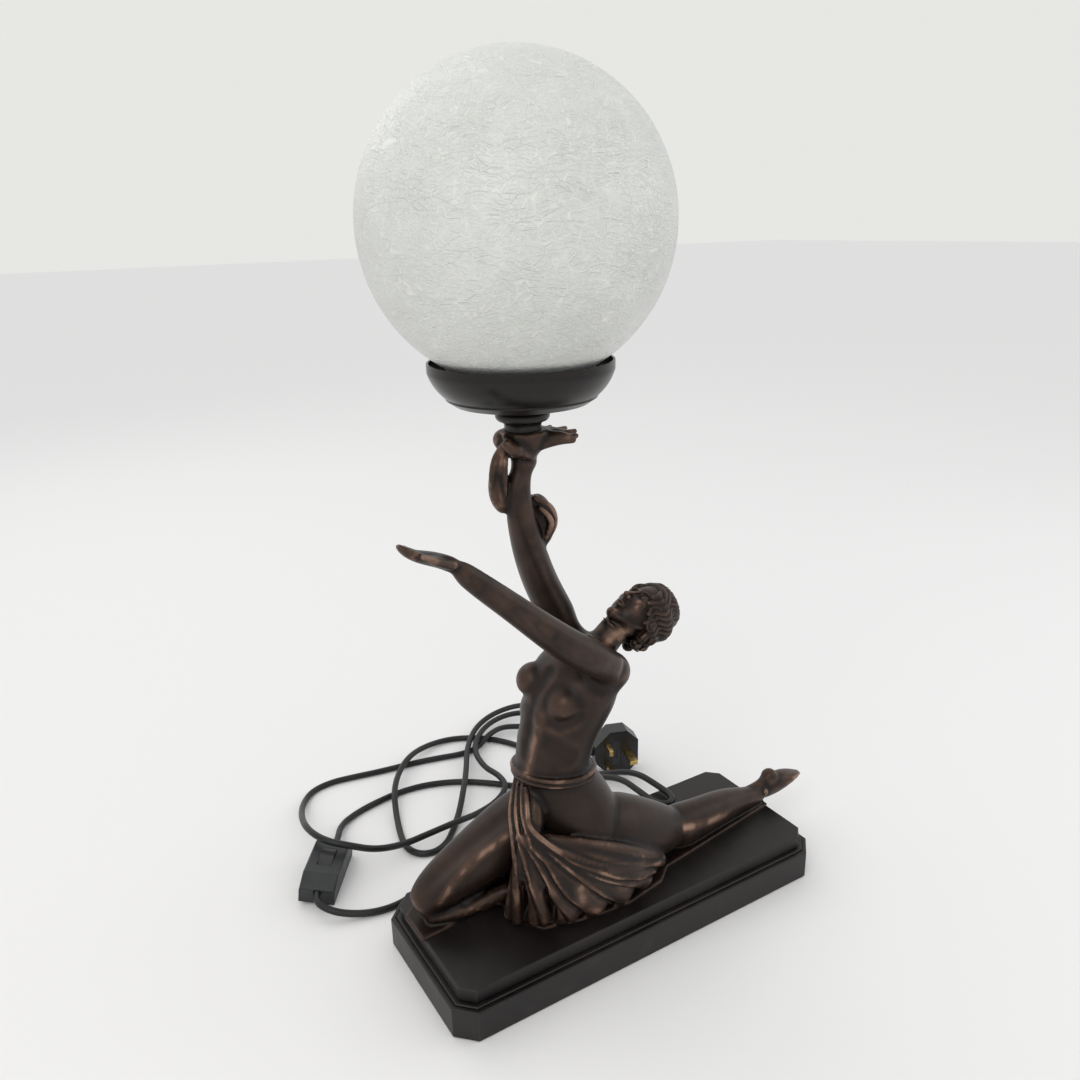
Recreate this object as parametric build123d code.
from build123d import *
import math
import os

# Figural table lamp: a kneeling dancer in bronzed casting on a two-tier octagonal
# plinth, one raised hand carrying a gallery cup and a crackle glass globe.
# Millimetres. Origin: middle of the underside. +X runs along the plinth towards the
# dancer's pointed foot, -Y is the front, +Z is up.

os.makedirs("parts", exist_ok=True)

# ---------------------------------------------------------------- driving dimensions
# plinth
PLINTH_LENGTH = 350.0
PLINTH_WIDTH = 136.0
PLINTH_CORNER = 14.0        # 45 degree corner cut of the lower tier
PLINTH_WALL = 7.0
RIM_LIFT = 1.0              # shadow gap between the cast rim and the table
LOWER_TOP = 25.8            # top of the lower tier's outer bead
BEAD = 3.0                  # height of each of the two moulding beads
BEAD_INSET = 3.8            # second bead, in from the outer wall
RECESS_INSET = 8.8
SLAB_INSET = 7.2
SLAB_BOTTOM = 28.4
SLAB_TOP = 38.5
SLAB_EDGE = 1.6
SLAB_SKIN = 6.0             # thickness of the cast top
PLATE_THICK = 1.5
FELT_THICK = 2.0
PLATE_GAP = 0.3             # play round the base plate and the felt
REBATE = 3.0                # ledge in the rim that the base plate seats on
BOSS_RADIUS = 6.0
PLATE_SCREW = 2.0           # shank radius of the base plate screws
PLATE_SCREW_HEAD = 3.8
PLATE_SCREW_LENGTH = 12.0

# figure joints and fixings
DOWEL_RADIUS = 3.0
DOWEL_LENGTH = 20.0
SHOULDER_PIN_RADIUS = 1.5
SHOULDER_PIN_LENGTH = 14.0
FIT = 0.05                  # radial play of pins and screws in their holes
BOLT_RADIUS = 3.0
BOLT_HEAD_RADIUS = 5.0
BOLT_HEAD_HEIGHT = 4.0
BOLT_REACH = 14.0           # length of thread in the figure
WASHER_RADIUS = 7.0
WASHER_THICK = 1.2
BOLT_PLACES = [(-128.0, 26.0), (24.0, -14.0)]
FOOTPLATE = 2.2             # thickness of the thin ledge round the figure

# lamp stem and gallery, all on the lamp axis
LAMP_X = -71.0
NIPPLE_RADIUS = 5.0         # M10 all-thread tube
NIPPLE_BORE = 3.6
NIPPLE_BOTTOM = 402.0
HAND_TOP = 418.0
COLLAR_HEIGHT = 16.0
COLLAR_TOP_RADIUS = 18.0
COLLAR_BOTTOM_RADIUS = 12.5
CUP_RADIUS = 61.7
CUP_HEIGHT = 30.0
CUP_FLOOR_RADIUS = 24.0
CUP_WALL = 1.5
SEAT_RADIUS = 47.5          # middle radius of the ring that carries the globe
SEAT_WIDTH = 6.0
SEAT_HEIGHT = 10.0          # top of the seat ring above the cup's underside
GASKET_THICK = 2.0
LOCKNUT_FLATS = 16.0
LOCKNUT_HEIGHT = 3.0

# globe: 8 inch glass
GLOBE_RADIUS = 100.0
GLOBE_WALL = 3.0
GLOBE_NECK_RADIUS = 49.0
GLOBE_RISE = 1.8            # the ball's lowest level above the neck's cut end

# lampholder (E27) and bulb
HOLDER_RADIUS = 20.0
HOLDER_CAP_HEIGHT = 15.0
HOLDER_SHELL_HEIGHT = 43.0
HOLDER_WALL = 2.2
HOLDER_FLOOR = 3.0
INSERT_HEIGHT = 9.0
SLEEVE_RADIUS = 14.0
SLEEVE_WALL = 0.6
SLEEVE_HEIGHT = 24.0
BULB_CAP_CLEAR = 0.3
BULB_CAP_LENGTH = 25.0
BULB_RADIUS = 30.0
BULB_LENGTH = 106.0
BULB_WALL = 0.8
CONTACT_THICK = 1.5

# flex
FLEX_RADIUS = 3.0
FLEX_CLEAR = 0.1            # play of the flex in the gland, switch and sleeve bores
PASSAGE_RADIUS = 4.2        # cored way for the flex through the casting
GLAND_X = -30.0
GLAND_Z = 13.0
GLAND_LENGTH = 26.0         # tapered strain relief outside the plinth
GLAND_ROOT = 6.5
GLAND_TIP = 4.6
GLAND_FLANGE = 8.5

# in-line switch
SWITCH_X, SWITCH_Y = -194.0, 160.0
SWITCH_HEADING = 56.0       # degrees from +X
SWITCH_ROLL = 8.0           # the flex holds it a little over on its right edge
SWITCH_LENGTH = 66.0
SWITCH_WIDTH = 31.0
SWITCH_HEIGHT = 22.0
SWITCH_SPLIT = 10.5         # height of the parting line, and of the flex
SWITCH_WALL = 2.0
SWITCH_NOSE = 12.0          # length of the sloping ends
ROCKER_LENGTH = 21.0
ROCKER_WIDTH = 12.0
ROCKER_DEPTH = 9.0
ROCKER_TILT = 7.0
ROCKER_CLEAR = 0.9
ROCKER_PIN = 1.1

# plug, 13 A moulded
PLUG_X, PLUG_Y = 118.0, 152.0
PLUG_HEADING = -20.0        # direction of the pins' row, degrees from +X
PLUG_WIDTH = 50.0
PLUG_HEIGHT = 46.0
PLUG_THICK = 20.0
PLUG_SHOULDER = 12.0
EARTH_PIN = (8.0, 4.0, 22.7)    # along the plug, across it, length
LINE_PIN = (4.0, 6.35, 17.7)
PIN_ROOT = 8.0              # length of each pin held in the moulding
PLUG_PIN_SPACING = 22.2
PLUG_EARTH_OFFSET = 22.2
CARRIER = (9.0, 28.0, 9.0)
CARRIER_CLEAR = 0.35


# ---------------------------------------------------------------- small helpers
def save(shape, node):
    """Write one sub-part."""
    export_step(shape, f"parts/{node}.step")
    return shape


def solids_of(*shapes):
    """Several separate solids kept together as one node."""
    found = []
    for shape in shapes:
        found += shape.solids()
    return Compound(children=found)


def cylinder(radius, z0, z1, x=0.0, y=0.0):
    """Upright cylinder between two heights."""
    return Pos(x, y, (z0 + z1) / 2) * Cylinder(radius, z1 - z0)


def tube(radius, bore, z0, z1, x=0.0, y=0.0):
    return cylinder(radius, z0, z1, x, y) - cylinder(bore, z0 - 1, z1 + 1, x, y)


def rod(start, end, radius):
    """Cylinder from one point to another."""
    run = Vector(*end) - Vector(*start)
    plane = Plane(origin=start, z_dir=run)
    return plane * Pos(0, 0, run.length / 2) * Cylinder(radius, run.length)


def block(x0, x1, y0, y1, z0, z1):
    size = Box(x1 - x0, y1 - y0, z1 - z0)
    return Pos((x0 + x1) / 2, (y0 + y1) / 2, (z0 + z1) / 2) * size


def octagon(inset, z0, z1):
    """Upright eight-sided slab of the plinth's outline, drawn in by inset."""
    length = PLINTH_LENGTH - 2 * inset
    width = PLINTH_WIDTH - 2 * inset
    corner = PLINTH_CORNER - inset * (2 - math.sqrt(2))
    outline = Rectangle(length, width)
    outline = chamfer(outline.vertices(), corner)
    return Pos(0, 0, z0) * extrude(outline, z1 - z0)


def edges_at(shape, z):
    """Level edges at one height."""
    return [e for e in shape.edges() if abs(e.center().Z - z) < 0.01 and e.bounding_box().size.Z < 0.01]


def tangents(points):
    """Direction of travel at each point of a path."""
    vectors = [Vector(*p) for p in points]
    found = []
    for i in range(len(vectors)):
        before = vectors[max(i - 1, 0)]
        after = vectors[min(i + 1, len(vectors) - 1)]
        found.append((after - before).normalized())
    return found


def limb(stations, side=(0, 1, 0)):
    """Loft through ellipses: each station is x, y, z, half width along side, half depth."""
    points = [s[:3] for s in stations]
    sections = []
    for station, along in zip(stations, tangents(points)):
        across = Vector(*side)
        across = (across - along * across.dot(along)).normalized()
        plane = Plane(origin=station[:3], x_dir=across, z_dir=along)
        sections.append(plane * Ellipse(station[3], station[4]))
    return loft(sections)


def ball(x, y, z, radius):
    return Pos(x, y, z) * Sphere(radius)


def cord_path(points):
    """Straight runs joined by arcs as large as the runs allow; returns path and radii."""
    vectors = [Vector(*p) for p in points]
    radii = []
    for a, b, c in zip(vectors, vectors[1:], vectors[2:]):
        shorter = min((b - a).length, (c - b).length)
        half_turn = math.radians((b - a).get_angle(c - b)) / 2
        radii.append(0.45 * shorter / math.tan(half_turn))
    return FilletPolyline(*points, radius=radii), radii


def cord(name, points, radius):
    """Round flex along a route."""
    path, radii = cord_path(points)
    section = Plane(origin=path @ 0, z_dir=path % 0) * Circle(radius)
    body = sweep(section, path=path)
    ideal = math.pi * radius ** 2 * path.length
    print(f"{name}: length {path.length:.0f}, volume/ideal {body.volume / ideal:.4f}, "
          f"least radius {min(radii):.1f}")
    return body


# ---------------------------------------------------------------- plinth
SLAB_UNDER = SLAB_TOP - SLAB_SKIN
PLATE_TOP = FELT_THICK + PLATE_THICK
BOSS_X = PLINTH_LENGTH / 2 - 3 * PLINTH_WALL - BOSS_RADIUS
BOSS_Y = PLINTH_WIDTH / 2 - 2 * PLINTH_WALL - BOSS_RADIUS
BOSS_PLACES = [(sx * BOSS_X, sy * BOSS_Y) for sx in (-1, 1) for sy in (-1, 1)]
REAR_FACE = PLINTH_WIDTH / 2
GLAND_HOLE = GLAND_ROOT - 1.0
GLAND_BARB = GLAND_HOLE + 1.1    # snaps behind the wall
FLEX_ENTRY = (-41.0, 8.0)       # hole in the slab where the flex climbs into the figure
FLEX_ENTRY_RADIUS = 9.0
CLAMP_Y = 28.0
CLAMP_SIZE = (28.0, 9.0)
CLAMP_PAD = 3.2
CLAMP_SCREW = 1.6
CLAMP_SCREW_X = 9.5
CLAMP_Z = SLAB_UNDER - CLAMP_PAD - FLEX_RADIUS - FLEX_CLEAR   # height of the clamped flex


def make_plinth():
    """Hollow two-tier casting: plain wall, two fine beads, dark recess, overhanging slab."""
    lower = octagon(0, RIM_LIFT, LOWER_TOP)
    lower = fillet(edges_at(lower, LOWER_TOP), BEAD * 0.42)
    groove_bottom = LOWER_TOP - BEAD * 0.4
    lower -= octagon(BEAD, groove_bottom, LOWER_TOP + 1) - octagon(BEAD_INSET, groove_bottom, LOWER_TOP + 1)
    bead_top = LOWER_TOP + BEAD * 0.4
    second = octagon(BEAD_INSET, groove_bottom, bead_top)
    second = fillet(edges_at(second, bead_top), BEAD * 0.38)
    neck = octagon(RECESS_INSET, groove_bottom, SLAB_BOTTOM)
    slab = octagon(SLAB_INSET, SLAB_BOTTOM, SLAB_TOP)
    slab = fillet(edges_at(slab, SLAB_TOP), SLAB_EDGE)
    body = lower + second + neck + slab
    body -= octagon(PLINTH_WALL, PLATE_TOP - 0.01, LOWER_TOP - 2 * BEAD)
    body -= octagon(RECESS_INSET + PLINTH_WALL * 0.8, PLATE_TOP, SLAB_UNDER)
    body -= octagon(PLINTH_WALL - REBATE, 0, PLATE_TOP)
    for x, y in BOSS_PLACES:
        body += cylinder(BOSS_RADIUS, PLATE_TOP, SLAB_UNDER, x, y)
        body -= cylinder(PLATE_SCREW + FIT, 0, PLATE_TOP + PLATE_SCREW_LENGTH + 1, x, y)
    body += block(GLAND_X - CLAMP_SIZE[0] / 2, GLAND_X + CLAMP_SIZE[0] / 2,
                  CLAMP_Y - CLAMP_SIZE[1] / 2, CLAMP_Y + CLAMP_SIZE[1] / 2,
                  SLAB_UNDER - CLAMP_PAD, SLAB_UNDER)
    for side in (-1, 1):
        x = GLAND_X + side * CLAMP_SCREW_X
        body -= cylinder(CLAMP_SCREW + FIT, 0, SLAB_UNDER + 3, x, CLAMP_Y)
    body -= cylinder(FLEX_ENTRY_RADIUS, SLAB_UNDER - 1, SLAB_TOP + 1, *FLEX_ENTRY)
    for x, y in BOLT_PLACES:
        body -= cylinder(BOLT_RADIUS + FIT, SLAB_UNDER - 1, SLAB_TOP + 1, x, y)
    wall_way = rod((GLAND_X, REAR_FACE + 1, GLAND_Z), (GLAND_X, REAR_FACE - 2 * PLINTH_WALL, GLAND_Z),
                   GLAND_HOLE + FIT)
    return body - wall_way


def make_base_plate():
    plate = octagon(PLINTH_WALL - REBATE + PLATE_GAP, FELT_THICK, PLATE_TOP)
    for x, y in BOSS_PLACES:
        plate -= cylinder(PLATE_SCREW + FIT, 0, PLATE_TOP + 1, x, y)
    return plate


def make_felt():
    """Felt glued under the base plate, with a window at each screw head."""
    felt = octagon(PLINTH_WALL - REBATE + PLATE_GAP, 0, FELT_THICK)
    for x, y in BOSS_PLACES:
        felt -= cylinder(PLATE_SCREW_HEAD + 0.6, -1, FELT_THICK + 1, x, y)
    return felt


def make_plate_screws():
    screws = []
    for x, y in BOSS_PLACES:
        head = cylinder(PLATE_SCREW_HEAD, FELT_THICK - 1.4, FELT_THICK, x, y)
        shank = cylinder(PLATE_SCREW, FELT_THICK, PLATE_TOP + PLATE_SCREW_LENGTH, x, y)
        slot = block(x - PLATE_SCREW_HEAD, x + PLATE_SCREW_HEAD, y - 0.4, y + 0.4,
                     FELT_THICK - 1.5, FELT_THICK - 0.8)
        screws.append(head + shank - slot)
    return solids_of(*screws)


def make_gland():
    """Moulded strain relief: inner flange, neck through the wall, ribbed outer taper."""
    inner = REAR_FACE - PLINTH_WALL
    tip = REAR_FACE + GLAND_LENGTH

    def ring(y0, y1, radius):
        return rod((GLAND_X, y0, GLAND_Z), (GLAND_X, y1, GLAND_Z), radius)

    body = ring(inner - 2.0, inner, GLAND_BARB) + ring(inner, REAR_FACE, GLAND_HOLE)
    body += ring(REAR_FACE, REAR_FACE + 2.0, GLAND_FLANGE)
    taper = Plane(origin=(GLAND_X, REAR_FACE + 2.0, GLAND_Z), z_dir=(0, 1, 0))
    taper_length = GLAND_LENGTH - 2.0
    body += taper * Pos(0, 0, taper_length / 2) * Cone(GLAND_ROOT, GLAND_TIP, taper_length)
    for i in range(4):
        start = REAR_FACE + 6.0 + 4.6 * i
        body -= ring(start, start + 1.4, GLAND_ROOT + 1) - ring(start, start + 1.4, GLAND_TIP - 0.5)
    return body - ring(inner - 3, tip + 1, FLEX_RADIUS + FLEX_CLEAR)


def make_cord_clamp():
    """Saddle that grips the flex against the pad under the slab."""
    top = SLAB_UNDER - CLAMP_PAD
    half_x, half_y = CLAMP_SIZE[0] / 2, CLAMP_SIZE[1] / 2
    body = block(GLAND_X - half_x, GLAND_X + half_x, CLAMP_Y - half_y, CLAMP_Y + half_y,
                 CLAMP_Z - FLEX_RADIUS - 3.0, top)
    way = FLEX_RADIUS + FLEX_CLEAR
    body -= rod((GLAND_X, CLAMP_Y - 20, CLAMP_Z), (GLAND_X, CLAMP_Y + 20, CLAMP_Z), way)
    body -= block(GLAND_X - way, GLAND_X + way, CLAMP_Y - 20, CLAMP_Y + 20, CLAMP_Z, top + 1)
    for side in (-1, 1):
        body -= cylinder(CLAMP_SCREW + FIT, 0, top + 1, GLAND_X + side * CLAMP_SCREW_X, CLAMP_Y)
    return body


def make_clamp_screws():
    bottom = CLAMP_Z - FLEX_RADIUS - 3.0
    screws = []
    for side in (-1, 1):
        x = GLAND_X + side * CLAMP_SCREW_X
        head = cylinder(CLAMP_SCREW * 2, bottom - 2, bottom, x, CLAMP_Y)
        screws.append(head + cylinder(CLAMP_SCREW, bottom, SLAB_UNDER + 2, x, CLAMP_Y))
    return solids_of(*screws)


# ---------------------------------------------------------------- figure
# Stations are x, y, z, half width across, half depth.
TORSO = [
    (-34, 0, 64, 36, 32),
    (-38, 0, 92, 43, 38),
    (-46, 0, 124, 38, 35),
    (-53.5, 0, 150, 31, 29.5),
    (-51.5, 0, 172, 30, 28.5),
    (-44.5, 0, 196, 34, 31.5),
    (-34, -2, 219, 38, 30),
    (-21, -4, 237, 33, 18),
    (-12, -3, 248, 14, 13),
]
BUST = [(-54, -21, 216), (-59, 15, 221)]
BUST_RADIUS = 14.0
RAISED_ARM = [
    (-27, 24, 249, 14.5, 14.5),
    (-41, 20, 281, 13.5, 13.5),
    (-58, 11, 313, 12.5, 12.5),
    (-70, 3, 342, 11, 11),
    (-76, 0, 370, 8.8, 8.8),
    (-72.5, 0, 391, 7.8, 7.8),
]
RAISED_PALM = [
    (-74, 0, 383, 7.0, 7.0),
    (-71, 0, 401, 9.6, 9.2),
    (-70, 0, 410, 15, 15.5),
    (-70, 0, HAND_TOP, 16, 17),
]
LEFT_ARM = [
    (-24, -37, 243, 13.5, 13.5),
    (-50, -43, 262, 13, 12.5),
    (-78, -46, 285, 11.5, 11.5),
    (-103, -46, 308, 9.8, 9.8),
    (-128, -46, 331, 8.4, 8.4),
    (-147, -46, 349.5, 6.4, 6.2),
]
LEFT_HAND = [                       # each hand and foot starts inside the limb that it ends
    (-139, -46, 341.5, 5.6, 5.4),
    (-157, -46.5, 356, 6.4, 4.8),
    (-167, -47.5, 360.5, 8.0, 4.2),
    (-177, -50, 365, 7.0, 3.2),
    (-187, -53, 373.5, 4.6, 1.8),
]
KNEELING_THIGH = [
    (-46, 18, 96, 28, 30),
    (-90, 22, 86, 25, 27),
    (-125, 24, 71, 21, 22),
    (-152, 25, 59, 16, 16),
    (-166, 25, 53, 9, 9),
]
KNEELING_SHIN = [
    (-158, 25, 51, 10, 12),
    (-130, 27, 53, 15, 14),
    (-95, 32, 54, 15, 14),
    (-60, 38, 50, 11, 11),
    (-35, 42, 47, 9, 9),
    (-10, 46, 44, 10, 6),
    (8, 48, 42, 6, 3),
]
EXTENDED_THIGH = [
    (-44, -10, 90, 22, 22),
    (-8, -17, 86, 29, 30),
    (24, -16, 73, 24, 25),
    (46, -14, 63.5, 19, 20),
    (64, -13, 59, 11, 11),
]
EXTENDED_SHIN = [
    (40, -14, 63, 11, 11),
    (60, -13, 60, 17, 18),
    (84, -12, 58, 16, 17),
    (108, -9, 56, 14.5, 15),
    (140, -6, 51.5, 10.5, 11),
    (164, -4, 49, 8.5, 9),
]
FOOT = [
    (150, -4.5, 50.5, 5, 5),
    (166, -4, 50, 7.2, 7.6),
    (182, -3, 51, 9, 9.5),
    (200, -2, 52, 9.5, 6),
    (218, -2, 50, 3, 1.6),
]
NECK = [
    (-12, -2, 240, 13, 13),
    (-1, -2, 250, 11.5, 11.5),
    (16, -2, 262, 11.5, 12),
]
HEAD_CENTRE = (26, -3, 260)
HEAD_UP = (0.974, 0, 0.227)        # from chin to crown: the head is thrown back
SKULL = [                           # along HEAD_UP: distance, half width, half depth, lift to the face
    (-30, 6, 5, 13),
    (-24, 11, 12, 8),
    (-12, 17, 21, 2),
    (2, 20, 24.5, 0),
    (16, 19.5, 23, -1),
    (26, 13, 15, -2),
    (30.5, 5, 6, -3),
]
SKIRT_GATHER = (-96, -27, 120)
SKIRT_PLEATS = [                    # x, y, z halfway down, then x, y, z, half width, half depth at the foot
    (-100, -22, 84, -101, -15, 44, 8, 6),
    (-93, -34, 84, -88, -32, 44, 9, 7),
    (-80, -43, 85, -66, -40, 44, 10, 7),
    (-66, -48, 87, -42, -43, 45, 11, 7.5),
    (-52, -50, 89, -17, -44, 46, 11, 7.5),
    (-42, -50, 93, 6, -41, 49, 10, 7.5),
    (-34, -48, 98, 24, -34, 55, 8, 7),
]
SKIRT_HEM = [(-102, -8), (-96, -24), (-70, -36), (-30, -40), (10, -36), (30, -26), (30, -4), (-30, 14), (-95, 8)]
SKIRT_TOP = [(-84, -2), (-80, -18), (-66, -30), (-45, -34), (-25, -30), (-8, -20), (-6, -4), (-40, 12), (-76, 10)]
SKIRT_TOP_Z = 112
FOOTPRINT = [
    (-170, 3), (-135, 6), (-101, 8), (-101, -15), (-87, -36), (-50, -46), (-14, -49),
    (22, -43), (37, -31), (60, -28), (168, -13), (168, 8), (100, 10), (40, 22),
    (14, 54), (-60, 52), (-120, 46), (-160, 44), (-171, 34),
]
SHOULDER_DOWELS = [(0, 9.2), (0, -9.2)]   # beside the flex way, in the joint's own plane


def joint_plane(stations, side=(0, 1, 0)):
    """Flat joint face at the root of a separately cast limb."""
    start = Vector(*stations[0][:3])
    along = (Vector(*stations[1][:3]) - start).normalized()
    across = Vector(*side)
    across = (across - along * across.dot(along)).normalized()
    return Plane(origin=start, x_dir=across, z_dir=along)


RAISED_JOINT = joint_plane(RAISED_ARM)
LEFT_JOINT = joint_plane(LEFT_ARM)
NECK_JOINT = joint_plane(NECK)

INNER_ROUTE = [
    (GLAND_X, REAR_FACE + GLAND_LENGTH, GLAND_Z),
    (GLAND_X, CLAMP_Y + 22, GLAND_Z),
    (GLAND_X, CLAMP_Y + 12.5, CLAMP_Z),
    (GLAND_X, CLAMP_Y - 10, CLAMP_Z),
    (-38, 10, 31),
    (-44, 6, 52),
    (-50, 1, 95),
    (-53, 0, 140),
    (-46, 3, 178),
    (-35, 11, 208),
    (-26, 20, 232),
] + [station[:3] for station in RAISED_ARM[0:5]] + [
    (-73, 0, 386),
    (LAMP_X, 0, 398),
    (LAMP_X, 0, HAND_TOP + COLLAR_HEIGHT + 22),
]


def flex_way(radius):
    """Round passage that follows the inner flex."""
    path, _ = cord_path(INNER_ROUTE)
    section = Plane(origin=path @ 0, z_dir=path % 0) * Circle(radius)
    return sweep(section, path=path)


def dowel(plane, x, y, radius, length):
    middle = plane * Pos(x, y, 0)
    return middle * Cylinder(radius, length)


def below(plane, size=300):
    """Large block on the near side of a joint face."""
    return plane * Pos(0, 0, -size / 2) * Box(size, size, size)


def make_skirt():
    """Cloth over the near thigh: a closed drape down to the slab and a fan of pleats on it."""
    hem = make_face(Polyline(*SKIRT_HEM, close=True))
    top = make_face(Polyline(*SKIRT_TOP, close=True))
    skirt = loft([Pos(0, 0, SLAB_TOP) * hem, Pos(0, 0, SKIRT_TOP_Z) * top], ruled=True)
    skirt += ball(*SKIRT_GATHER, 9)
    for middle_x, middle_y, middle_z, x, y, z, half_width, half_depth in SKIRT_PLEATS:
        stations = [
            (*SKIRT_GATHER, 4.5, 4.5),
            (middle_x, middle_y, middle_z, half_width * 0.75, half_depth * 0.85),
            (x, y, z, half_width, half_depth),
        ]
        skirt += limb(stations, side=(1, -0.3, 0.3))
    return skirt


def make_footplate():
    """Thin raised ledge that outlines the figure on the slab."""
    outline = make_face(Polyline(*FOOTPRINT, close=True))
    return Pos(0, 0, SLAB_TOP) * extrude(outline, FOOTPLATE)


def make_waistband():
    band = Plane(origin=(-53, 0, 151), x_dir=(0, 1, 0), z_dir=(0.12, 0.12, 1))
    path = (band * Ellipse(31, 28.5)).edges()[0]
    section = Plane(origin=path @ 0, z_dir=path % 0) * Circle(3.4)
    return sweep(section, path=path)


def make_figure_body():
    """Torso, hips, legs, skirt and foot ledge in one casting, cored for the flex."""
    body = limb(TORSO)
    body += limb(KNEELING_THIGH) + limb(KNEELING_SHIN)
    body += limb(EXTENDED_THIGH) + limb(EXTENDED_SHIN) + limb(FOOT)
    body += ball(178, -3, 60, 8)                                  # heel
    for x, y, z in BUST:
        body += ball(x, y, z, BUST_RADIUS)
    body += limb([(-16, 14, 232, 15, 15), RAISED_ARM[0]])
    body += limb([(-14, -24, 232, 16, 15), LEFT_ARM[0]])
    body += limb([(-16, -3, 236, 16, 15), NECK[0]])
    body += make_waistband()
    body += make_skirt()
    body += make_footplate()
    body -= block(-300, 300, -200, 200, SLAB_TOP - 100, SLAB_TOP)
    for joined in (RAISED_ARM, LEFT_ARM, NECK):
        body -= limb(joined)                                      # flat seat of each joined part
    core = [(x, y, z, side - 9, depth - 9) for x, y, z, side, depth in TORSO[1:7]]
    body -= limb(core)
    body -= cylinder(FLEX_ENTRY_RADIUS, SLAB_TOP - 1, 98, *FLEX_ENTRY)
    body -= flex_way(PASSAGE_RADIUS)
    for x, y in BOLT_PLACES:
        body -= cylinder(BOLT_RADIUS + FIT, SLAB_TOP - 1, SLAB_TOP + BOLT_REACH + 1, x, y)
    for x, y in SHOULDER_DOWELS:
        body -= dowel(RAISED_JOINT, x, y, SHOULDER_PIN_RADIUS + FIT, SHOULDER_PIN_LENGTH)
    body -= dowel(LEFT_JOINT, 0, 0, DOWEL_RADIUS + FIT, DOWEL_LENGTH)
    body -= dowel(NECK_JOINT, 0, 0, DOWEL_RADIUS + FIT, DOWEL_LENGTH)
    return body


HEAD_FACE = (-HEAD_UP[2], 0, HEAD_UP[0])      # the way the face looks


def in_head(up, across, out):
    """Point given in the head's own directions: to the crown, to her left, out of the face."""
    point = Vector(*HEAD_CENTRE) + Vector(*HEAD_UP) * up
    point += Vector(0, -1, 0) * across + Vector(*HEAD_FACE) * out
    return tuple(point)


NOSE_OUT = 25.0
CURLS = [                           # up, across, out, radius: rolled curls from temple to nape
    (14, 16, 2, 5.5), (4, 18, -4, 6), (-5, 16, -12, 6), (-12, 10, -18, 5.5), (-15, 0, -20, 5.5),
]


def make_head():
    """Head and neck, cast apart and set on a dowel; waved hair with rolled curls."""
    skull_sections = []
    for up, half_width, half_depth, lift in SKULL:
        plane = Plane(origin=in_head(up, 0, lift * 0.5), x_dir=(0, 1, 0), z_dir=HEAD_UP)
        skull_sections.append(plane * Ellipse(half_width, half_depth))
    head = limb(NECK) + loft(skull_sections)
    nose = limb([(*in_head(7, 0, 20), 1.6, 1.4), (*in_head(2, 0, 22.5), 2.2, 2.2),
                 (*in_head(-3, 0, NOSE_OUT), 3.2, 2.6)])
    head += nose + ball(*in_head(-27, 0, 14), 5)
    for up, across, out, radius in CURLS:
        head += ball(*in_head(up, across, out), radius)
        if across:
            head += ball(*in_head(up, -across, out), radius)
    head += ball(*in_head(10, 0, -1), 21)
    head -= below(NECK_JOINT)
    return head - dowel(NECK_JOINT, 0, 0, DOWEL_RADIUS + FIT, DOWEL_LENGTH)


RAISED_FINGERS = [                  # tips: x, y, z of the spread fingers under the collar
    (-40, -17, 409), (-34, -5, 409), (-36, 7, 410), (-44, 17, 411),
]


def make_raised_arm():
    """Raised right arm with the palm turned up, cored for the flex and the stem tube."""
    arm = limb(RAISED_ARM) + limb(RAISED_PALM)
    for x, y, z in RAISED_FINGERS:
        root = (LAMP_X + 8, y * 0.55, 410)
        knuckle = ((x + root[0]) / 2, (y + root[1]) / 2, 411.5)
        arm += limb([(*root, 5.5, 6), (*knuckle, 4.8, 5), (x, y, z, 2.6, 2.2)])
    thumb = [(LAMP_X - 6, -6, 407, 6, 6), (LAMP_X - 15, -10, 409, 4.6, 5), (LAMP_X - 18, -7, 414, 3.6, 3.6)]
    arm += limb(thumb, side=(0, 0, 1))
    arm += ball(LAMP_X - 11, 7, 411, 7.5)
    scarf_left = [(-84, 4, 404, 4, 4), (-89, 4, 391, 6, 5), (-90, 4, 378, 7, 6), (-84, 4, 362, 4, 4)]
    scarf_right = [(-62, 4, 368, 4, 4), (-54, 6, 356, 6.5, 7.5), (-53, 6, 344, 7.5, 8), (-57, 4, 332, 4, 4)]
    scarf_back = [(-89, 8, 384, 6, 4), (-76, 12, 372, 9, 4), (-60, 11, 356, 8, 5)]
    arm += limb(scarf_left) + limb(scarf_right) + limb(scarf_back, side=(0, 0, 1))
    arm -= block(-200, 100, -100, 100, HAND_TOP, HAND_TOP + 40)
    arm -= flex_way(PASSAGE_RADIUS)
    arm -= cylinder(NIPPLE_RADIUS + FIT, NIPPLE_BOTTOM, HAND_TOP + 1, LAMP_X, 0)
    for x, y in SHOULDER_DOWELS:
        arm -= dowel(RAISED_JOINT, x, y, SHOULDER_PIN_RADIUS + FIT, SHOULDER_PIN_LENGTH)
    return arm


def make_left_arm():
    """Outstretched left arm, fingers together and turned up at the tips."""
    arm = limb(LEFT_ARM) + limb(LEFT_HAND)
    thumb = [(-160, -49, 359, 3.4, 3), (-167, -55, 361.5, 3, 2.6), (-175, -58, 366, 1.8, 1.5)]
    arm += limb(thumb)
    return arm - dowel(LEFT_JOINT, 0, 0, DOWEL_RADIUS + FIT, DOWEL_LENGTH)


def make_bolts():
    bolts = []
    for x, y in BOLT_PLACES:
        seat = SLAB_UNDER - WASHER_THICK
        shank = cylinder(BOLT_RADIUS, seat, SLAB_TOP + BOLT_REACH, x, y)
        head = Pos(x, y, seat - BOLT_HEAD_HEIGHT) * extrude(RegularPolygon(BOLT_HEAD_RADIUS, 6), BOLT_HEAD_HEIGHT)
        bolts.append(head + shank)
    return solids_of(*bolts)


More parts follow.
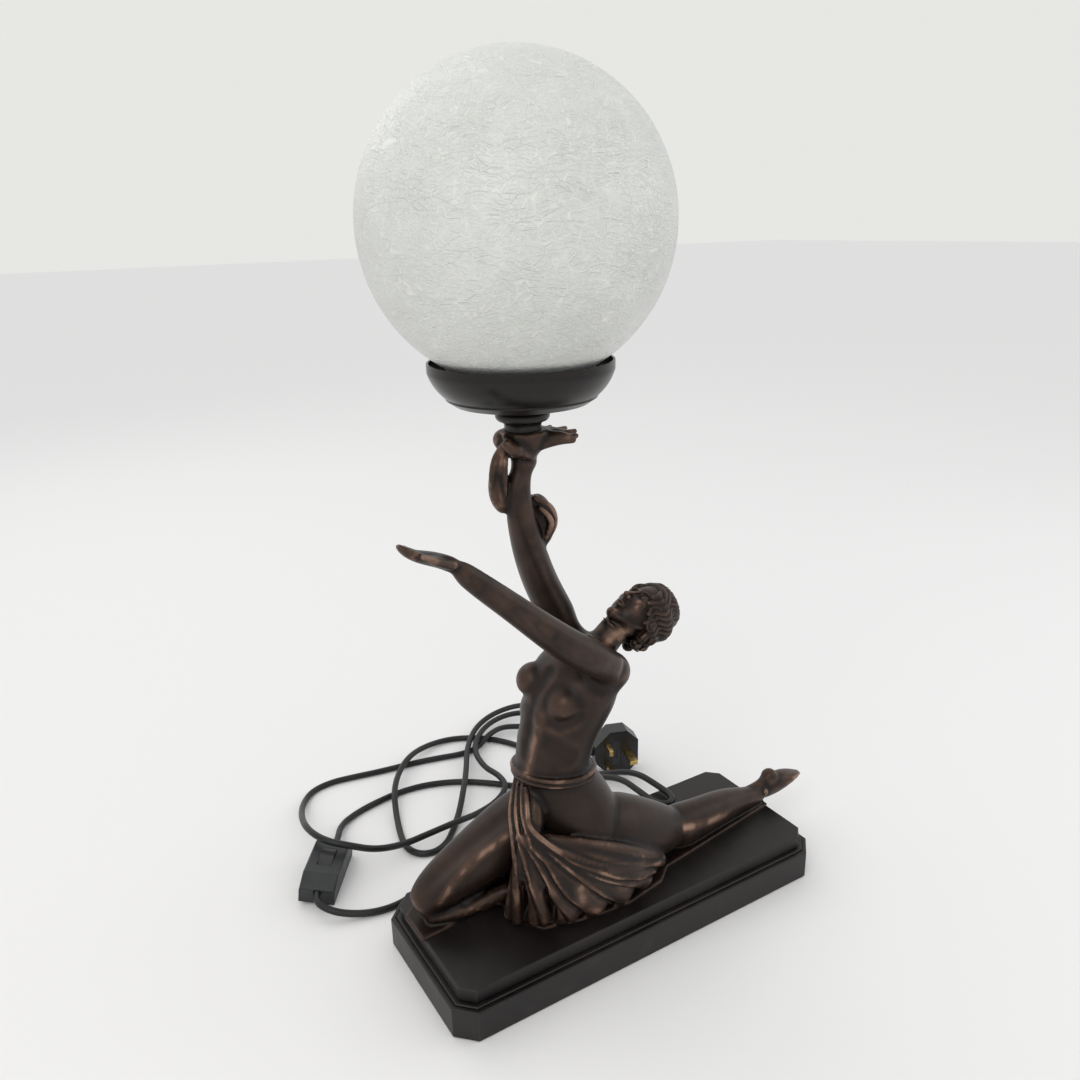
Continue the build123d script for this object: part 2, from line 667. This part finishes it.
def make_washers():
    return solids_of(*[tube(WASHER_RADIUS, BOLT_RADIUS + FIT, SLAB_UNDER - WASHER_THICK, SLAB_UNDER, x, y)
                       for x, y in BOLT_PLACES])


# ---------------------------------------------------------------- stem, gallery and globe
CUP_BOTTOM = HAND_TOP + COLLAR_HEIGHT
CUP_RIM = CUP_BOTTOM + CUP_HEIGHT
CUP_INSIDE = CUP_BOTTOM + CUP_WALL
SEAT_TOP = CUP_BOTTOM + SEAT_HEIGHT
NECK_BOTTOM = SEAT_TOP + GASKET_THICK
GLOBE_CENTRE_Z = NECK_BOTTOM + GLOBE_RISE + GLOBE_RADIUS
HOLDER_BOTTOM = CUP_INSIDE + LOCKNUT_HEIGHT + 1.0
NIPPLE_TOP = HOLDER_BOTTOM + 10.0
SHELL_BOTTOM = HOLDER_BOTTOM + HOLDER_CAP_HEIGHT
SHELL_TOP = SHELL_BOTTOM + HOLDER_SHELL_HEIGHT
INSERT_BOTTOM = SHELL_BOTTOM + 2.0
INSERT_TOP = INSERT_BOTTOM + INSERT_HEIGHT
SLEEVE_TOP = INSERT_TOP + SLEEVE_HEIGHT
BULB_TIP = INSERT_TOP + CONTACT_THICK + 0.3
BULB_CAP_BOTTOM = BULB_TIP + 2.5
BULB_CAP_TOP = BULB_CAP_BOTTOM + BULB_CAP_LENGTH
BULB_CAP_RADIUS = SLEEVE_RADIUS - SLEEVE_WALL - BULB_CAP_CLEAR
BULB_TOP = BULB_TIP + BULB_LENGTH


def at_lamp(shape):
    return Pos(LAMP_X, 0, 0) * shape


def turned(points):
    """Solid of revolution about the lamp axis from a closed outline of radius and height."""
    outline = make_face(Plane.XZ * Polyline(*points, close=True))
    return at_lamp(revolve(outline, Axis.Z))


def make_nipple():
    return tube(NIPPLE_RADIUS, NIPPLE_BORE, NIPPLE_BOTTOM, NIPPLE_TOP, LAMP_X, 0)


def make_locknut():
    nut = extrude(RegularPolygon(LOCKNUT_FLATS / 2, 6, major_radius=False), LOCKNUT_HEIGHT)
    nut = Pos(LAMP_X, 0, CUP_INSIDE) * nut
    return nut - cylinder(NIPPLE_RADIUS + FIT, CUP_INSIDE - 1, CUP_INSIDE + 9, LAMP_X, 0)


def make_collar():
    """Turned drum between the hand and the gallery cup."""
    low, high = HAND_TOP, CUP_BOTTOM
    bore = NIPPLE_RADIUS + FIT
    waist = COLLAR_BOTTOM_RADIUS
    brim = COLLAR_TOP_RADIUS
    outline = Plane.XZ * make_face(
        Polyline((bore, low), (waist, low), (waist, low + 3.5))
        + ThreePointArc((waist, low + 3.5), (waist + 1.6, low + 5.6), (brim - 1.5, low + 6.5))
        + ThreePointArc((brim - 1.5, low + 6.5), (brim + 0.3, low + 9), (brim - 0.4, low + 12))
        + Polyline((brim - 0.4, low + 12), (brim - 1.2, high), (bore, high), (bore, low))
    )
    return at_lamp(revolve(outline, Axis.Z))


def cup_curve(wall):
    """Bowl line of the gallery cup from the floor to the rim, moved in by the wall."""
    floor = CUP_BOTTOM + wall
    start = (CUP_FLOOR_RADIUS, floor)
    middle = (CUP_RADIUS * 0.83 - wall * 0.7, CUP_BOTTOM + CUP_HEIGHT * 0.26 + wall * 0.7)
    end = (CUP_RADIUS - wall, CUP_BOTTOM + CUP_HEIGHT * 0.8)
    return ThreePointArc(start, middle, end), start, end


def make_gallery_cup():
    """Spun cup with a turned seat ring for the globe on its floor."""
    bore = NIPPLE_RADIUS + FIT
    outer, outer_start, outer_end = cup_curve(0)
    inner, inner_start, inner_end = cup_curve(CUP_WALL)
    rim_in = CUP_RADIUS - CUP_WALL
    outline = Plane.XZ * make_face(
        Line((bore, CUP_BOTTOM), outer_start) + outer + Line(outer_end, (CUP_RADIUS, CUP_RIM))
        + Line((CUP_RADIUS, CUP_RIM), (rim_in, CUP_RIM)) + Line((rim_in, CUP_RIM), inner_end)
        + inner + Line(inner_start, (bore, CUP_INSIDE)) + Line((bore, CUP_INSIDE), (bore, CUP_BOTTOM))
    )
    cup = at_lamp(revolve(outline, Axis.Z))
    half = SEAT_WIDTH / 2
    ring = tube(SEAT_RADIUS + half, SEAT_RADIUS - half, CUP_BOTTOM, SEAT_TOP, LAMP_X, 0)
    solid_bowl_outline = Plane.XZ * make_face(
        Line((0, CUP_BOTTOM), outer_start) + outer + Line(outer_end, (CUP_RADIUS, CUP_RIM))
        + Line((CUP_RADIUS, CUP_RIM), (0, CUP_RIM)) + Line((0, CUP_RIM), (0, CUP_BOTTOM))
    )
    return cup + (ring & at_lamp(revolve(solid_bowl_outline, Axis.Z)))


def make_gasket():
    half = SEAT_WIDTH / 2
    return tube(SEAT_RADIUS + half, SEAT_RADIUS - half, SEAT_TOP, NECK_BOTTOM, LAMP_X, 0)


def make_globe():
    """Hollow glass ball with a short straight neck that stands on the gasket."""
    outer = Pos(LAMP_X, 0, GLOBE_CENTRE_Z) * Sphere(GLOBE_RADIUS)
    inner = Pos(LAMP_X, 0, GLOBE_CENTRE_Z) * Sphere(GLOBE_RADIUS - GLOBE_WALL)
    outer += cylinder(GLOBE_NECK_RADIUS, NECK_BOTTOM, GLOBE_CENTRE_Z - GLOBE_RADIUS / 2, LAMP_X, 0)
    inner += cylinder(GLOBE_NECK_RADIUS - GLOBE_WALL, NECK_BOTTOM - 1, GLOBE_CENTRE_Z - GLOBE_RADIUS / 2, LAMP_X, 0)
    globe = outer - inner
    reach = 1.5 * GLOBE_RADIUS
    below = block(LAMP_X - reach, LAMP_X + reach, -reach, reach, NECK_BOTTOM - reach, NECK_BOTTOM)
    return globe - below


def make_holder_cap():
    bore = NIPPLE_RADIUS + FIT
    wall = HOLDER_RADIUS - HOLDER_WALL
    return turned([
        (bore, HOLDER_BOTTOM), (10, HOLDER_BOTTOM), (HOLDER_RADIUS, HOLDER_BOTTOM + 8),
        (HOLDER_RADIUS, SHELL_BOTTOM), (wall, SHELL_BOTTOM), (wall, HOLDER_BOTTOM + 9),
        (bore + 2, HOLDER_BOTTOM + HOLDER_FLOOR), (bore, HOLDER_BOTTOM + HOLDER_FLOOR),
    ])


def make_holder_shell():
    wall = HOLDER_RADIUS - HOLDER_WALL
    return turned([
        (wall, SHELL_BOTTOM), (HOLDER_RADIUS, SHELL_BOTTOM), (HOLDER_RADIUS, SHELL_TOP),
        (wall - 1.6, SHELL_TOP), (wall - 1.6, SHELL_TOP - 1.6), (wall, SHELL_TOP - 1.6),
    ])


def make_holder_insert():
    wall = HOLDER_RADIUS - HOLDER_WALL - FIT
    core = cylinder(wall, INSERT_BOTTOM, INSERT_TOP, LAMP_X, 0)
    return core - cylinder(FLEX_RADIUS + 0.5, INSERT_BOTTOM - 1, INSERT_BOTTOM + 5, LAMP_X, 0)


def make_holder_sleeve():
    return tube(SLEEVE_RADIUS, SLEEVE_RADIUS - SLEEVE_WALL, INSERT_TOP, SLEEVE_TOP, LAMP_X, 0)


def make_holder_contact():
    strip = block(LAMP_X - 9, LAMP_X + 5, -3, 3, INSERT_TOP, INSERT_TOP + CONTACT_THICK)
    return strip


def make_bulb_cap():
    """Edison screw cap with rolled threads."""
    radius = BULB_CAP_RADIUS
    cap = cylinder(radius, BULB_CAP_BOTTOM, BULB_CAP_TOP, LAMP_X, 0)
    cap -= cylinder(radius - 0.8, BULB_CAP_BOTTOM + 1, BULB_CAP_TOP + 1, LAMP_X, 0)
    pitch = 3.6
    for i in range(5):
        z = BULB_CAP_BOTTOM + 3.5 + pitch * i
        cap -= tube(radius + 1, radius - 0.4, z, z + pitch / 2, LAMP_X, 0)
    return cap


def make_bulb_contact():
    return cylinder(4.5, BULB_TIP, BULB_CAP_BOTTOM, LAMP_X, 0)


def bulb_solid(wall):
    """Pear shaped envelope, drawn in by the wall: ball, tangent cone and straight neck."""
    centre = BULB_TOP - BULB_RADIUS
    ball_radius = BULB_RADIUS - wall
    neck = BULB_CAP_RADIUS - 0.8 - FIT - wall
    side = ball_radius * 0.785
    waist = centre - ball_radius * 0.62
    throat = waist - (side - neck) * 0.785 / 0.62
    low = BULB_CAP_TOP - 10 + wall
    cone = Pos(LAMP_X, 0, (throat + waist) / 2) * Cone(neck, side, waist - throat)
    return ball(LAMP_X, 0, centre, ball_radius) + cone + cylinder(neck, low, throat, LAMP_X, 0)


def make_bulb_glass():
    return bulb_solid(0) - bulb_solid(BULB_WALL)


def make_filament_mount():
    """Glass stem with two lead wires and the filament across them."""
    low = BULB_CAP_TOP - 10 + BULB_WALL
    top = BULB_TOP - BULB_RADIUS
    stem = cylinder(3.5, low, low + 34, LAMP_X, 0)
    left = rod((LAMP_X - 2, 0, low + 33), (LAMP_X - 14, 0, top), 0.6)
    right = rod((LAMP_X + 2, 0, low + 33), (LAMP_X + 14, 0, top), 0.6)
    filament = rod((LAMP_X - 14, 0, top), (LAMP_X + 14, 0, top), 0.7)
    return stem + left + right + filament + ball(LAMP_X - 14, 0, top, 0.8) + ball(LAMP_X + 14, 0, top, 0.8)


# ---------------------------------------------------------------- in-line switch
SWITCH_LIFT = SWITCH_WIDTH / 2 * math.sin(math.radians(SWITCH_ROLL))
SWITCH_PLACE = Pos(SWITCH_X, SWITCH_Y, SWITCH_LIFT) * Rot(0, 0, SWITCH_HEADING) * Rot(SWITCH_ROLL, 0, 0)
CORD_STOP = SWITCH_LENGTH / 2 - 7.0         # how far from the middle each flex end stops
ROCKER_AXIS_Z = SWITCH_HEIGHT - 3.0
SWITCH_SCREW = 1.3


def on_switch(along):
    """Point on the flex's line through the switch, in the lamp's own frame."""
    return tuple((SWITCH_PLACE * Pos(along, 0, SWITCH_SPLIT)).position)


def switch_blank(grow=0.0):
    """Outer form of the switch: a rounded block with sloping ends."""
    half = SWITCH_LENGTH / 2 - grow
    top = SWITCH_HEIGHT - grow
    low = 0.0 + grow
    shoulder = half - SWITCH_NOSE
    outline = Plane.XZ * make_face(Polyline(
        (-half, low), (half, low), (half, SWITCH_SPLIT + 3.5 - grow / 2), (shoulder, top),
        (-shoulder, top), (-half, SWITCH_SPLIT + 3.5 - grow / 2), close=True))
    width = SWITCH_WIDTH - 2 * grow
    body = extrude(outline, width / 2, both=True)
    if grow == 0:
        body = fillet([e for e in body.edges() if e.center().Z > SWITCH_SPLIT], 1.8)
    return body


def switch_bores():
    way = rod((-SWITCH_LENGTH, 0, SWITCH_SPLIT), (SWITCH_LENGTH, 0, SWITCH_SPLIT), FLEX_RADIUS + FLEX_CLEAR)
    hollow = switch_blank(SWITCH_WALL)
    return way, hollow


def make_switch_lower():
    way, hollow = switch_bores()
    body = switch_blank() & block(-50, 50, -30, 30, 0, SWITCH_SPLIT)
    body -= hollow
    for side in (-1, 1):
        body += cylinder(3.4, SWITCH_WALL, SWITCH_SPLIT, side * 14, 9.5)
        body -= cylinder(SWITCH_SCREW + FIT, -1, SWITCH_SPLIT + 1, side * 14, 9.5)
    return SWITCH_PLACE * (body - way)


def make_switch_upper():
    way, hollow = switch_bores()
    body = switch_blank() & block(-50, 50, -30, 30, SWITCH_SPLIT, SWITCH_HEIGHT)
    body -= hollow
    body -= block(-ROCKER_LENGTH / 2 - ROCKER_CLEAR, ROCKER_LENGTH / 2 + ROCKER_CLEAR,
                  -ROCKER_WIDTH / 2 - 0.4, ROCKER_WIDTH / 2 + 0.4, SWITCH_SPLIT, SWITCH_HEIGHT + 1)
    for side in (-1, 1):
        y0, y1 = sorted((side * (ROCKER_WIDTH / 2 + 0.4), side * (ROCKER_WIDTH / 2 + 2.6)))
        body += block(-3, 3, y0, y1, ROCKER_AXIS_Z - 4, SWITCH_HEIGHT - SWITCH_WALL + 0.5)
        body += cylinder(3.4, SWITCH_SPLIT, SWITCH_HEIGHT - SWITCH_WALL + 0.5, side * 14, 9.5)
        body -= cylinder(SWITCH_SCREW + FIT, SWITCH_SPLIT - 1, SWITCH_SPLIT + 6, side * 14, 9.5)
    body -= rod((0, -ROCKER_WIDTH, ROCKER_AXIS_Z), (0, ROCKER_WIDTH, ROCKER_AXIS_Z), ROCKER_PIN + FIT)
    return SWITCH_PLACE * (body - way)


def make_rocker():
    """Rocker key resting in its OFF position."""
    half = ROCKER_LENGTH / 2
    outline = Plane.XZ * make_face(
        Polyline((-half, 2.6), (-half + 1.5, -ROCKER_DEPTH + 4), (half - 1.5, -ROCKER_DEPTH + 4), (half, 2.6))
        + ThreePointArc((half, 2.6), (0, 4.2), (-half, 2.6)))
    key = extrude(outline, ROCKER_WIDTH / 2, both=True)
    key -= rod((0, -ROCKER_WIDTH, 0), (0, ROCKER_WIDTH, 0), ROCKER_PIN + FIT)
    key = Pos(0, 0, ROCKER_AXIS_Z) * Rot(0, -ROCKER_TILT, 0) * key
    return SWITCH_PLACE * key


def make_rocker_pin():
    reach = ROCKER_WIDTH / 2 + 2.6
    return SWITCH_PLACE * rod((0, -reach, ROCKER_AXIS_Z), (0, reach, ROCKER_AXIS_Z), ROCKER_PIN)


def make_switch_contacts():
    """Two brass strips on the floor of the case, one at each end of the rocker."""
    strips = []
    for side in (-1, 1):
        x0, x1 = sorted((side * 6.0, side * 20.0))
        foot = block(x0, x1, -9, -3, SWITCH_WALL, SWITCH_WALL + 1.2)
        x2, x3 = sorted((side * 6.0, side * 8.0))
        strips.append(foot + block(x2, x3, -9, -3, SWITCH_WALL, SWITCH_WALL + 6))
    return SWITCH_PLACE * solids_of(*strips)


def make_switch_screws():
    screws = []
    for side in (-1, 1):
        screws.append(cylinder(SWITCH_SCREW, 0.6, SWITCH_SPLIT + 5, side * 14, 9.5))
    return SWITCH_PLACE * solids_of(*screws)


# ---------------------------------------------------------------- plug
# Own frame of the plug: x across the pins' face towards the earth pin, y up, z out of the face.
PLUG_STAND = PLUG_WIDTH / 2
PLUG_PLANE = Plane(
    origin=(PLUG_X, PLUG_Y, PLUG_STAND),
    x_dir=(math.cos(math.radians(PLUG_HEADING)), math.sin(math.radians(PLUG_HEADING)), 0),
    z_dir=(math.sin(math.radians(PLUG_HEADING)), -math.cos(math.radians(PLUG_HEADING)), 0),
)
PLUG_SLEEVE_LENGTH = 24.0
PLUG_SLEEVE_ROOT = 5.4
PLUG_SLEEVE_TIP = 4.2
PLUG_TAIL = -PLUG_HEIGHT / 2
EARTH_X = PLUG_HEIGHT / 2 - 11.0
LINE_X = EARTH_X - PLUG_EARTH_OFFSET
CARRIER_X = LINE_X + 9.6
FLEX_DEPTH = 11.0                 # flex axis behind the pins' face
PINS = [(EARTH_X, 0, EARTH_PIN), (LINE_X, PLUG_PIN_SPACING / 2, LINE_PIN),
        (LINE_X, -PLUG_PIN_SPACING / 2, LINE_PIN)]
FUSE_RADIUS = 3.15
FUSE_LENGTH = 25.4


def on_plug(x, y, z):
    """Point given in the plug's own directions, in the lamp's frame."""
    return tuple((PLUG_PLANE * Pos(x, y, z)).position)


def pin_block(pin, low, high, grow=0.0):
    x, y, (length_x, length_y, _) = pin
    return block(x - length_x / 2 - grow, x + length_x / 2 + grow,
                 y - length_y / 2 - grow, y + length_y / 2 + grow, low, high)


def make_plug_body():
    """Moulded body with sloping shoulders, standing on one long edge."""
    half_w, half_h = PLUG_WIDTH / 2, PLUG_HEIGHT / 2
    outline = Polyline(
        (half_h, -half_w + PLUG_SHOULDER), (half_h, half_w - PLUG_SHOULDER), (half_h - PLUG_SHOULDER, half_w),
        (-half_h + 16, half_w), (-half_h, 9), (-half_h, -9), (-half_h + 16, -half_w),
        (half_h - PLUG_SHOULDER, -half_w), close=True)
    body = Pos(0, 0, -PLUG_THICK) * extrude(make_face(outline), PLUG_THICK)
    body = fillet([e for e in body.edges() if abs(e.center().Z + PLUG_THICK) < 0.01], 3.0)
    pocket_x, pocket_y = CARRIER[0] / 2 + CARRIER_CLEAR, CARRIER[1] / 2 + CARRIER_CLEAR
    body -= block(CARRIER_X - pocket_x, CARRIER_X + pocket_x, -pocket_y, pocket_y,
                  -CARRIER[2] - CARRIER_CLEAR, 1)
    for pin in PINS:
        body -= pin_block(pin, -PIN_ROOT, 1, FIT)
    body -= rod((-half_h - 1, 0, -FLEX_DEPTH), (-half_h + 8, 0, -FLEX_DEPTH), FLEX_RADIUS + FLEX_CLEAR)
    return PLUG_PLANE * body


def make_plug_pin(pin):
    solid = pin_block(pin, -PIN_ROOT, pin[2][2])
    tip = [e for e in solid.edges() if abs(e.center().Z - pin[2][2]) < 0.01]
    return PLUG_PLANE * chamfer(tip, 0.8)


def make_fuse_carrier():
    """Carrier that pulls out of the pins' face with the fuse in it."""
    half_x, half_y = CARRIER[0] / 2, CARRIER[1] / 2
    body = block(CARRIER_X - half_x, CARRIER_X + half_x, -half_y, half_y, -CARRIER[2], 0)
    trough = FUSE_RADIUS + FIT
    middle = -CARRIER[2] / 2 - 1.0
    reach = FUSE_LENGTH / 2 + FIT
    body -= rod((CARRIER_X, -reach, middle), (CARRIER_X, reach, middle), trough)
    body -= block(CARRIER_X - half_x - 1, CARRIER_X + half_x + 1, -reach, reach, -CARRIER[2] - 1, middle - 1.2)
    body -= block(CARRIER_X - 1.2, CARRIER_X + 1.2, -5, 5, -0.8, 1)
    return PLUG_PLANE * body


def make_fuse():
    middle = -CARRIER[2] / 2 - 1.0
    return PLUG_PLANE * rod((CARRIER_X, -FUSE_LENGTH / 2, middle), (CARRIER_X, FUSE_LENGTH / 2, middle),
                            FUSE_RADIUS)


def make_plug_sleeve():
    """Tapered strain relief between the plug and its flex."""
    root = Plane(origin=(PLUG_TAIL, 0, -FLEX_DEPTH), z_dir=(-1, 0, 0))
    cone = Cone(PLUG_SLEEVE_ROOT, PLUG_SLEEVE_TIP, PLUG_SLEEVE_LENGTH)
    sleeve = root * Pos(0, 0, PLUG_SLEEVE_LENGTH / 2) * cone
    for i in range(4):
        groove = Cylinder(PLUG_SLEEVE_ROOT + 1, 1.4) - Cylinder(PLUG_SLEEVE_TIP - 0.5, 1.4)
        sleeve -= root * Pos(0, 0, 4.0 + 5.0 * i) * groove
    sleeve -= rod((PLUG_TAIL + 1, 0, -FLEX_DEPTH), (PLUG_TAIL - PLUG_SLEEVE_LENGTH - 1, 0, -FLEX_DEPTH),
                  FLEX_RADIUS + FLEX_CLEAR)
    return PLUG_PLANE * sleeve


# ---------------------------------------------------------------- flex outside the lamp
# Chosen along the flex in the photograph: it lies on the table at one radius and passes
# over itself in low humps. Where the photograph shows a limp strand, the bends are tight.
TABLE = FLEX_RADIUS
LOWER_ROUTE = [                     # strain relief of the plinth to the near end of the switch
    INNER_ROUTE[0], (-30, 106, 13), (-34, 121, 6.5), (-52, 132, TABLE), (-79, 128, TABLE),
    (-106, 113, TABLE), (-129, 99, TABLE), (-152, 91, TABLE), (-174, 93, TABLE), (-193, 100, 5),
    (-208, 109, 9), on_switch(-SWITCH_LENGTH / 2 - 9), on_switch(-CORD_STOP),
]
UPPER_ROUTE = [                     # far end of the switch to the plug
    on_switch(CORD_STOP), on_switch(CORD_STOP + 13), (-158, 221, 5), (-138, 234, TABLE),
    (-116, 240, TABLE), (-88, 244, TABLE), (-58, 241, TABLE), (-26, 227, TABLE), (0, 205, TABLE),
    (22, 182, TABLE), (44, 160, 10), (60, 136, 24), (70, 111, 37), (76, 86, 46),
    # bight that lies on the slab behind the hips
    (79, 62, 44), (81, 39, 43), (91, 33, 43), (101, 39, 43), (99, 62, 44), (94, 86, 46),
    (88, 111, 36), (83, 136, 20), (83, 163, 11), (90, 192, 7), (103, 222, 10),
    # first strand of the bundle behind the lamp
    (112, 258, 13), (103, 287, 13), (81, 304, 13), (51, 301, 13), (24, 283, 13), (5, 256, 13),
    (0, 224, 12), (6, 202, 12), (3, 181, 12), (-14, 167, 10), (-40, 161, 8),
    # big loop, over the far end of the switch
    (-66, 156, 12), (-94, 154, 12), (-123, 152, 12), (-149, 153, 17), (-170, 156, 28),
    (-189, 169, 33), (-197, 194, 33), (-190, 238, 18), (-177, 276, 5), (-162, 295, TABLE),
    (-140, 300, TABLE), (-116, 296, TABLE), (-87, 290, TABLE), (-56, 286, TABLE), (-27, 280, TABLE),
    # strand that turns back behind the torso
    (-4, 273, TABLE), (17, 272, 3.5), (34, 279, 11), (54, 285, 12), (76, 281, 8), (100, 273, TABLE),
    (126, 268, TABLE), (147, 278, TABLE), (150, 300, TABLE), (134, 318, TABLE), (110, 322, 6),
    (86, 319, 12), (56, 315, 12), (26, 297, 12), (1, 265, 12), (-18, 229, 12), (-38, 197, 12),
    # narrow upright loop
    (-53, 177, 5), (-69, 158, TABLE), (-84, 142, TABLE), (-100, 137, TABLE), (-113, 144, TABLE),
    (-118, 160, TABLE), (-113, 184, TABLE), (-105, 211, 5), (-96, 236, 12), (-79, 264, 12),
    (-57, 287, 12), (-30, 305, 6), (-1, 309, TABLE), (26, 296, TABLE), (46, 275, TABLE),
    (59, 252, TABLE), (62, 228, 6), (56, 206, 14), (59, 189, 22),
    on_plug(PLUG_TAIL - PLUG_SLEEVE_LENGTH - 8, 0, -FLEX_DEPTH), on_plug(PLUG_TAIL + 2, 0, -FLEX_DEPTH),
]


def least_gap(points, radius, step=2.0, apart=40.0):
    """Least clear distance between stretches of one route that are well apart along it."""
    path, _ = cord_path(points)
    count = int(path.length / step)
    samples = [path @ (i / count) for i in range(count + 1)]
    skip = int(apart / step)
    least = min((samples[i] - samples[j]).length
                for i in range(count + 1) for j in range(i + skip, count + 1))
    return least - 2 * radius


# ---------------------------------------------------------------- write every sub-part
save(make_plinth(), "plinth")
save(make_base_plate(), "base_plate")
save(make_felt(), "felt_pad")
save(make_plate_screws(), "base_screws")
save(make_gland(), "cord_gland")
save(make_cord_clamp(), "cord_clamp")
save(make_clamp_screws(), "cord_clamp_screws")
save(make_bolts(), "figure_bolts")
save(make_washers(), "figure_washers")
save(make_figure_body(), "figure_body")
save(make_head(), "head")
save(make_raised_arm(), "raised_arm")
save(make_left_arm(), "outstretched_arm")
save(solids_of(*[dowel(RAISED_JOINT, x, y, SHOULDER_PIN_RADIUS, SHOULDER_PIN_LENGTH - 1)
                 for x, y in SHOULDER_DOWELS]), "raised_arm_pins")
save(dowel(LEFT_JOINT, 0, 0, DOWEL_RADIUS, DOWEL_LENGTH - 1), "outstretched_arm_dowel")
save(dowel(NECK_JOINT, 0, 0, DOWEL_RADIUS, DOWEL_LENGTH - 1), "neck_dowel")
save(make_nipple(), "stem_nipple")
save(make_locknut(), "stem_locknut")
save(make_collar(), "stem_collar")
save(make_gallery_cup(), "gallery_cup")
save(make_gasket(), "globe_gasket")
save(make_globe(), "globe")
save(make_holder_cap(), "lampholder_cap")
save(make_holder_shell(), "lampholder_shell")
save(make_holder_insert(), "lampholder_insert")
save(make_holder_sleeve(), "lampholder_sleeve")
save(make_holder_contact(), "lampholder_contact")
save(make_bulb_cap(), "bulb_cap")
save(make_bulb_contact(), "bulb_contact")
save(make_bulb_glass(), "bulb_glass")
save(make_filament_mount(), "bulb_filament")
save(make_switch_lower(), "switch_lower_case")
save(make_switch_upper(), "switch_upper_case")
save(make_rocker(), "switch_rocker")
save(make_rocker_pin(), "switch_rocker_pin")
save(make_switch_contacts(), "switch_contacts")
save(make_switch_screws(), "switch_screws")
save(make_plug_body(), "plug_body")
save(make_plug_pin(PINS[0]), "plug_earth_pin")
save(solids_of(make_plug_pin(PINS[1]), make_plug_pin(PINS[2])), "plug_line_neutral_pins")
save(make_fuse_carrier(), "plug_fuse_carrier")
save(make_fuse(), "plug_fuse")
save(make_plug_sleeve(), "plug_sleeve")
save(cord("inner flex", INNER_ROUTE, FLEX_RADIUS), "inner_flex")
save(cord("lower flex", LOWER_ROUTE, FLEX_RADIUS), "flex_lower")
save(cord("upper flex", UPPER_ROUTE, FLEX_RADIUS), "flex_upper")
print(f"upper flex, least gap to itself: {least_gap(UPPER_ROUTE, FLEX_RADIUS):.1f} mm")
